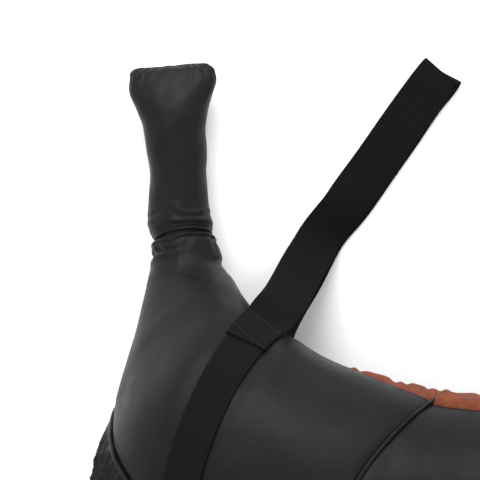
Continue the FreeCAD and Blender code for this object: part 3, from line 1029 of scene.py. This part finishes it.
class BAG_OT_bands(Operator):
    """Webbing bands sewn round the roots of the horns."""
    bl_idname = "bag.bands"
    bl_label = "Bands"

    def execute(self, context):
        webbing = sizes("bag_webbing")
        angle = np.linspace(0, 2 * math.pi, 361)[:-1]
        path, across, normals = front_bow_path(angle, 0.0007)
        for side_name, side in SIDES.items():
            item = ribbon(f"{side_name}_band_webbing", mirror_points(path, side),
                          mirror_points(across, side), mirror_points(normals, side),
                          webbing.band_width, webbing.thickness, closed=True)
            fix_outside(item)
            finish_piece(item, "bag", black_webbing(), [f"{side_name}_band"])
        return {"FINISHED"}


def fix_outside(item):
    """Turn all faces of a closed mesh outwards."""
    work = bmesh.new()
    work.from_mesh(item.data)
    bmesh.ops.recalc_face_normals(work, faces=work.faces[:])
    work.to_mesh(item.data)
    work.free()


SEWN_FRONT = (143, 149, 155, 161, 167)      # degrees round the horn, where the loop is sewn on
SEWN_BACK = (206, 214, 222, 230)
FOLD_REACH = 0.006                          # finer rings this far to each side of the fold
# Middle line of the left loop: x, y, z, turn of its width from X and tilt, in degrees.
LOOP_UPPER = (
    (-0.1881, 0.0505, 0.1010, 39, 0), (-0.1815, 0.0613, 0.0850, 34, 2),
    (-0.1743, 0.0796, 0.0590, 30, 6), (-0.1670, 0.0983, 0.0350, 29, 12),
    (-0.1627, 0.1077, 0.0240, 30, 17), (-0.1585, 0.1171, 0.0155, 32, 21),
    (-0.1531, 0.1263, 0.0110, 37, 24), (-0.1460, 0.1352, 0.0100, 39, 24),
    (-0.1385, 0.1441, 0.0095, 37, 21), (-0.1257, 0.1621, 0.0062, 35, 6),
    (-0.1128, 0.1800, 0.0046, 35, 0), (-0.0878, 0.2156, 0.0044, 36, 0),
    (-0.0620, 0.2512, 0.0042, 36, 0), (-0.0525, 0.2632, 0.0040, 36, 0))
LOOP_TURN = ((-0.0494, 0.2668, 0.0028, 36, 0),)
LOOP_LOWER = (
    (-0.0520, 0.2628, 0.0015, 36, 0), (-0.0617, 0.2507, 0.0014, 36, 0),
    (-0.0867, 0.2151, 0.0014, 36, 0), (-0.1117, 0.1795, 0.0014, 35, 0),
    (-0.1377, 0.1438, 0.0014, 36, 0), (-0.1529, 0.1260, 0.0014, 35, 0),
    (-0.1636, 0.1072, 0.0020, 31, 0), (-0.1766, 0.0811, 0.0060, 31, 0),
    (-0.1868, 0.0618, 0.0190, 34, 0), (-0.1915, 0.0500, 0.0330, 36, 0))


def table_rows(rows):
    """Points and width directions of a loop's table."""
    rows = np.array(rows)
    turn, tilt = np.radians(rows[:, 3]), np.radians(rows[:, 4])
    across = np.column_stack([-np.cos(turn) * np.cos(tilt), np.sin(turn) * np.cos(tilt),
                              np.sin(tilt)])
    return rows[:, :3], across


def loop_route():
    """Middle line of the left loop and its width directions, from the end sewn over
    the band's front, round the fold, to the end sewn under the band's back."""
    step = sizes("bag_webbing").thickness
    front, front_across, _ = front_bow_path(np.radians(SEWN_FRONT),
                                            0.0004 + 0.8 * step)
    back, back_across, _ = front_bow_path(np.radians(SEWN_BACK), 0.0006 + step)
    free, free_across = table_rows(LOOP_UPPER + LOOP_TURN + LOOP_LOWER)
    return (np.vstack([front, free, back]), np.vstack([front_across, free_across, back_across]))


class BAG_OT_loops(Operator):
    """Webbing folded in two as a hand loop at each horn's root."""
    bl_idname = "bag.loops"
    bl_label = "Loops"

    def execute(self, context):
        webbing = sizes("bag_webbing")
        route, widths = loop_route()
        knots = np.concatenate([[0], np.cumsum(np.linalg.norm(np.diff(route, axis=0), axis=1))])
        at = np.linspace(0, knots[-1], 900)
        fold = knots[len(SEWN_FRONT) + len(LOOP_UPPER)]
        near = np.linspace(fold - FOLD_REACH, fold + FOLD_REACH, 60)
        at = np.sort(np.concatenate([at[np.abs(at - fold) > FOLD_REACH + 0.0002], near]))
        path = natural_spline(knots, route, at)
        path[:, 2] = np.maximum(path[:, 2], webbing.thickness * 0.55)
        tangent = unit(np.gradient(path, axis=0))
        across = natural_spline(knots, widths, at)
        across = unit(across - tangent * (across * tangent).sum(-1, keepdims=True))
        normals = np.cross(across, tangent)
        start_share = smooth_step(0.020, 0.060, at)
        narrow = 1 - (1 - webbing.band_width / webbing.width) * (1 - start_share)
        for side_name, side in SIDES.items():
            item = ribbon(f"{side_name}_loop_webbing", mirror_points(path, side),
                          mirror_points(across, side), mirror_points(normals, side),
                          webbing.width, webbing.thickness, narrow=narrow)
            fix_outside(item)
            finish_piece(item, None, black_webbing(), [f"{side_name}_loop"])
            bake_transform(item)
        return {"FINISHED"}


# --- stitches ---------------------------------------------------------------

def stitch_row(path, normals, spacing, length, radius):
    """Points and faces of small stitches spaced along a path.

    Each stitch is an ellipsoid: half a length long and radius thick, on the path.
    """
    run = path_lengths(path, 0)
    count = int(run[-1] / spacing)
    at = (np.arange(count) + 0.5) * run[-1] / count
    centre = np.column_stack([np.interp(at, run, path[:, k]) for k in range(3)])
    normal = unit(np.column_stack([np.interp(at, run, normals[:, k]) for k in range(3)]))
    tangent = unit(np.column_stack([np.interp(at, run, np.gradient(path[:, k], run))
                                    for k in range(3)]))
    side = np.cross(normal, tangent)
    slope, turn = np.meshgrid(np.linspace(0.12, math.pi - 0.12, 7),
                              np.linspace(0, 2 * math.pi, 9)[:-1], indexing="ij")
    along = np.cos(slope).ravel() * length / 2
    out = (np.sin(slope) * np.cos(turn)).ravel() * radius
    up = (np.sin(slope) * np.sin(turn)).ravel() * radius
    points = (centre[:, None] + tangent[:, None] * along[:, None] + side[:, None] * out[:, None]
              + normal[:, None] * up[:, None])
    size = slope.size
    quads = grid_faces(7, 8, False, True)
    starts = (np.arange(count) * size)[:, None, None]
    faces = (quads[None] + starts).reshape(-1, 4).tolist()
    ends = np.arange(8)
    for start in starts.ravel():
        faces.append((ends[::-1] + start).tolist())
        faces.append((ends + start + size - 8).tolist())
    return points.reshape(-1, 3), faces


def stitches(name, rows, side, body):
    """One mesh of several stitch rows; rows are (path, normals, spacing, length, radius)."""
    points, faces, start = [], [], 0
    for row in rows:
        row_points, row_faces = stitch_row(*row)
        faces += [[corner + start for corner in face] for face in row_faces]
        start += len(row_points)
        points.append(row_points)
    item = mesh_from_mixed(name, mirror_points(np.vstack(points), side), faces)
    fix_outside(item)
    finish_piece(item, body, thread())
    return item


class BAG_OT_stitches(Operator):
    """Thread along the seams and across the sewn ends of the loops."""
    bl_idname = "bag.stitches"
    bl_label = "Stitches"

    def execute(self, context):
        step = sizes("bag_webbing").thickness
        angle = np.linspace(0, 2 * math.pi, 900)
        place = side_seam_place(angle) + 0.0058
        free = (angle > gusset_angle(place) + 0.03) & \
            (angle < 2 * math.pi - gusset_angle(place) - 0.03)
        seam = (bag_point(place[free], angle[free]), bag_normal(place[free], angle[free]))
        seam = (seam[0] - seam[1] * 0.0016, seam[1], 0.0036, 0.0027, 0.00032)
        place = np.linspace(-gusset_tip() * 0.97, gusset_tip() * 0.97, 1200)
        for side_name, side in SIDES.items():
            rows = [seam]
            for degrees in (146, 164):
                across = np.linspace(-0.0165, 0.0165, 40)
                turn = np.full(40, math.radians(degrees))
                at = band_place(turn, across)
                normals = bag_normal(at, turn)
                rows.append((bag_point(at, turn) + normals * (0.0006 + 1.62 * step), normals,
                             0.0034, 0.0026, 0.0003))
            stitches(f"{side_name}_thread", rows, side, "bag")
        rows = []
        for turn in (1, -1):
            angle = turn * (gusset_angle(place) + 0.0052 / 0.09)
            normals = bag_normal(place, angle)
            rows.append((bag_point(place, angle) - normals * 0.0016, normals, 0.0036, 0.0027,
                         0.00032))
        stitches("gusset_thread", rows, 1, "bag")
        return {"FINISHED"}


# --- grips ------------------------------------------------------------------

GRIP_PLACES = (-0.010, -0.004, 0.003, 0.008, 0.014, 0.030, 0.048, 0.066, 0.084, 0.102,
               0.111, 0.120, 0.129, 0.138, 0.147, 0.1525, 0.1562, 0.1578)
GRIP_HALF_WIDTHS = (0.0200, 0.0230, 0.0247, 0.0262, 0.0271, 0.0270, 0.0256, 0.0252, 0.0266,
                    0.0275, 0.0293, 0.0320, 0.0356, 0.0388, 0.0393, 0.0383, 0.0368, 0.0345)
GRIP_HALF_HEIGHTS = (0.0200, 0.0232, 0.0248, 0.0260, 0.0268, 0.0268, 0.0266, 0.0264, 0.0260,
                     0.0250, 0.0238, 0.0218, 0.0190, 0.0158, 0.0122, 0.0096, 0.0068, 0.0045)
GRIP_OFFSETS = (0.002, 0.0015, 0.001, 0.0, -0.0008, -0.0017, -0.0013, -0.001, -0.0015,
                -0.0025, -0.0022, -0.0026, -0.0031, -0.0032, -0.0023, -0.0024, -0.0028, -0.003)


def grip_point(distance, angle):
    """Point of the left grip.

    The section is |x/w|^n + |z/t|^n = 1 with half width w and half height t from
    curves along the grip; n grows from 2 at the neck to 2.6 at the sewn end.
    """
    horn = sizes("bag_horn")
    distance, angle = np.broadcast_arrays(distance, angle)
    table = np.column_stack([GRIP_HALF_WIDTHS, GRIP_HALF_HEIGHTS, GRIP_OFFSETS])
    row = natural_spline(GRIP_PLACES, table, np.clip(distance, GRIP_PLACES[0], GRIP_PLACES[-1]))
    power = 2 / (2 + 0.7 * smooth_step(0.10, 0.15, distance))
    across = np.sign(np.cos(angle)) * np.abs(np.cos(angle)) ** power * row[..., 0]
    across = across + row[..., 2]
    rise = np.sign(np.sin(angle)) * np.abs(np.sin(angle)) ** power * row[..., 1]
    lean = horn.grip_lean
    plan = along_grip(distance)
    x = plan[..., 0] + math.cos(lean) * across
    y = plan[..., 1] + math.sin(lean) * across
    z = horn.grip_radius + sizes("bag_form").end_lift + rise
    return np.stack([x, y, z], axis=-1)


class BAG_OT_grips(Operator):
    """Stuffed horn grips, sewn flat at their ends."""
    bl_idname = "bag.grips"
    bl_label = "Grips"

    def execute(self, context):
        rows, columns = 260, 160
        end = GRIP_PLACES[-1]
        distance = GRIP_PLACES[0] + (end - GRIP_PLACES[0]) * clustered(rows, 0.4)
        angle = np.linspace(0, 2 * math.pi, columns + 1)[:-1]
        distance, angle = np.meshgrid(distance, angle, indexing="ij")
        points = grip_point(distance, angle)
        around = unit(np.roll(points, -1, axis=1) - np.roll(points, 1, axis=1))
        along = unit(np.gradient(points, axis=0))
        normals = unit(np.cross(around, along))
        centre = points.mean(axis=1, keepdims=True)
        if ((points - centre) * normals).sum() < 0:
            normals = -normals
        relief = 0.0006 * wander(points, 0.045, 51) + 0.0003 * wander(points, 0.018, 52)
        collar = distance - 0.004 - 0.005 * np.sin(angle) - 0.003 * np.cos(angle)
        near = 0.0008 * wander(points, 0.022, 53)
        for place, depth, reach in ((0.0018, 0.0011, 0.0011), (0.0052, 0.0008, 0.0014),
                                    (0.0100, 0.0006, 0.0022)):
            relief += depth * hill(collar + near, place, reach)
        relief -= 0.0012 * hill(collar, 0.0002, 0.0012)
        slant = collar / 0.0105 + 0.35 * np.cos(angle) + 0.45 * wander(points, 0.030, 54)
        folds = np.exp(-(2.6 * (slant - np.round(slant))) ** 2)
        relief += 0.0017 * folds * smooth_step(0.003, 0.009, collar) * \
            smooth_step(0.030, 0.012, collar)
        from_end = end - distance
        pucker = np.sin(angle * 17 + 2.5 * wander(points, 0.03, 55))
        relief += 0.0005 * pucker * np.exp(-from_end / 0.010)
        points = points + normals * relief[..., None]
        points[..., 2] = np.maximum(points[..., 2], 0.0004)
        tip = along_grip(end + 0.002)
        cap = np.array([tip[0], tip[1], points[-1, :, 2].mean()])
        inner = cap + (points[-1] - cap) * np.array([0.93, 1, 0.55]) + np.array([0, 0.0016, 0])
        seam = cap + (points[-1] - cap) * np.array([0.80, 1, 0.08]) + np.array([0, 0.0018, 0])
        root = points[0].mean(axis=0)
        grid = np.concatenate([points, inner[None], seam[None]])
        vertices = np.vstack([grid.reshape(-1, 3), root, seam.mean(axis=0)])
        faces = grid_faces(rows + 2, columns, False, True).tolist()
        base = (rows + 1) * columns
        root_index, cap_index = len(vertices) - 2, len(vertices) - 1
        ring = np.arange(columns)
        faces += np.stack([ring, (ring + 1) % columns, np.full(columns, root_index)], 1).tolist()
        faces += np.stack([base + (ring + 1) % columns, base + ring,
                           np.full(columns, cap_index)], 1).tolist()
        for side_name, side in SIDES.items():
            item = mesh_from_mixed(f"{side_name}_grip_leather", mirror_points(vertices, side), faces)
            fix_outside(item)
            finish_piece(item, None, cover_leather(),
                         [f"{side_name}_grip_cover", f"{side_name}_neck_gather"])
            start, stop = along_grip(np.array([-0.006, 0.020]))
            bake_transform(item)
        return {"FINISHED"}


# --- filling ----------------------------------------------------------------

WADDING_DEPTH = 0.0085      # from the form's surface to the wadding's
WADDING_FLOOR = 0.0045      # the wadding's lowest height


class BAG_OT_filling(Operator):
    """Wadding inside the cover and the finishes of the hidden sand bags."""
    bl_idname = "bag.filling"
    bl_label = "Filling"

    def execute(self, context):
        wadding = fibre_stuff("wadding", (0.30, 0.29, 0.27), 60.0, 0.8)
        sand = fibre_stuff("sand", (0.50, 0.42, 0.30), 900.0, 0.6)
        cloth = woven_webbing("liner_cloth", (0.42, 0.40, 0.34))
        ties = fibre_stuff("tie_plastic", (0.75, 0.75, 0.73), 120.0, 0.1)
        finishes = {"sand": sand, "liner_cloth": cloth, "tie_plastic": ties, "wadding": wadding}
        slots = {row["node"]: row["material_slot"] for row in frame["record"]["subparts"]}
        for node, item in frame["nodes"].items():
            material = finishes.get(slots.get(node))
            if material is None:
                continue
            for index in range(max(1, len(item.material_slots))):
                if item.material_slots:
                    item.material_slots[index].material = material
                else:
                    item.data.materials.append(material)
        knots, _ = form_table()
        place = np.linspace(knots[2] * 0.995, knots[-3] * 0.995, 180)
        angle = np.linspace(0, 2 * math.pi, 97)[:-1]
        place, angle = np.meshgrid(place, angle, indexing="ij")
        points = bag_point(place, angle)
        points = points + bag_normal(place, angle) * -WADDING_DEPTH
        points[..., 2] = np.maximum(points[..., 2], WADDING_FLOOR)
        item = mesh_object("wadding_fill", points, grid_faces(*place.shape, False, True))
        cap_ends(item, *place.shape)
        fix_outside(item)
        finish_piece(item, "bag", wadding, ["wadding_sleeve"])
        for side_name, side in SIDES.items():
            distance = np.linspace(0.012, 0.146, 60)
            distance, turn = np.meshgrid(distance, angle[0], indexing="ij")
            core = grip_point(distance, turn)
            middle = core.mean(axis=1, keepdims=True)
            core = middle + (core - middle) * 0.80
            item = mesh_object(f"{side_name}_grip_wadding", mirror_points(core, side),
                               grid_faces(*distance.shape, False, True))
            cap_ends(item, *distance.shape)
            fix_outside(item)
            finish_piece(item, f"{side_name}_grip", wadding,
                         [f"{side_name}_grip_core"])
        return {"FINISHED"}


# --- stage ------------------------------------------------------------------

def area_light(name, place, aim, size, power):
    """Softbox at a place, facing a point; size is its two sides."""
    data = bpy.data.lights.new(name, "AREA")
    data.shape = "RECTANGLE"
    data.size, data.size_y = size
    data.energy = power
    item = bpy.data.objects.new(name, data)
    item.location = place
    item.rotation_euler = (Vector(aim) - Vector(place)).to_track_quat("-Z", "Y").to_euler()
    bpy.context.scene.collection.objects.link(item)
    return item


FLOOR_HALF = 6.0            # half the floor's side
FLOOR_HEIGHT = -0.0006      # just under the bag
SKY_STRENGTH = 1.5


class BAG_OT_stage(Operator):
    """Pale floor, soft studio light and the camera."""
    bl_idname = "bag.stage"
    bl_label = "Stage"

    def execute(self, context):
        stage = sizes("bag_stage")
        corners = [(x * FLOOR_HALF, y * FLOOR_HALF, FLOOR_HEIGHT)
                   for x, y in ((-1, -1), (1, -1), (1, 1), (-1, 1))]
        floor = mesh_object("floor", corners, [(0, 1, 2, 3)])
        material, _, _, shader = new_material("floor")
        shader.inputs["Base Color"].default_value = (*stage.floor_colour, 1)
        shader.inputs["Roughness"].default_value = 0.9
        shader.inputs["Specular IOR Level"].default_value = 0.1
        floor.data.materials.append(material)
        world = bpy.data.worlds.new("studio")
        world.use_nodes = True
        world.node_tree.nodes["Background"].inputs["Color"].default_value = (1, 1, 1, 1)
        world.node_tree.nodes["Background"].inputs["Strength"].default_value = SKY_STRENGTH
        context.scene.world = world
        context.scene.view_settings.view_transform = "Standard"
        area_light("key", (-0.30, 1.90, 1.50), (-0.2, 0.0, 0.0), (1.5, 1.0), stage.key_power)
        camera = bpy.data.cameras.new("camera")
        camera.sensor_width = 36
        camera.lens = stage.lens
        camera.clip_end = 50
        item = bpy.data.objects.new("camera", camera)
        place = Vector((0.0, -0.00265, stage.camera_height))
        look = (Vector((stage.aim_x, stage.aim_y, 0)) - place).normalized()
        right = look.cross(Vector((0, 1, 0))).normalized()
        up = right.cross(look)
        roll = Matrix.Rotation(-stage.roll, 3, look)
        turn = Matrix((roll @ right, roll @ up, -look)).transposed()
        item.matrix_world = Matrix.Translation(place) @ turn.to_4x4()
        context.scene.collection.objects.link(item)
        context.scene.camera = item
        return {"FINISHED"}


# --- add-on -----------------------------------------------------------------

OPERATORS = (
    BAG_OT_horn_panels, BAG_OT_centre_panels, BAG_OT_belly_gusset, BAG_OT_neck_strip,
    BAG_OT_seam_welts, BAG_OT_bands, BAG_OT_loops, BAG_OT_stitches, BAG_OT_grips,
    BAG_OT_filling, BAG_OT_stage)
GROUPS = {"bag_form": BagForm, "bag_horn": HornShape, "bag_webbing": WebbingShape,
          "bag_look": BagLook, "bag_stage": StudioStage}


class BAG_PT_panel(Panel):
    """Buttons for each group of pieces."""
    bl_idname = "BAG_PT_panel"
    bl_label = "Training Bag"
    bl_space_type = "VIEW_3D"
    bl_region_type = "UI"
    bl_category = "Training Bag"

    def draw(self, context):
        for operator in OPERATORS:
            self.layout.operator(operator.bl_idname)


def register():
    for group in GROUPS.values():
        bpy.utils.register_class(group)
    for operator in OPERATORS:
        bpy.utils.register_class(operator)
    bpy.utils.register_class(BAG_PT_panel)
    for name, group in GROUPS.items():
        setattr(bpy.types.Scene, name, PointerProperty(type=group))


def unregister():
    for name in GROUPS:
        delattr(bpy.types.Scene, name)
    bpy.utils.unregister_class(BAG_PT_panel)
    for item in (*reversed(OPERATORS), *reversed(GROUPS.values())):
        bpy.utils.unregister_class(item)


def main():
    register()
    for operator in OPERATORS:
        family, action = operator.bl_idname.split(".")
        getattr(getattr(bpy.ops, family), action)()


if __name__ == "__main__":
    main()
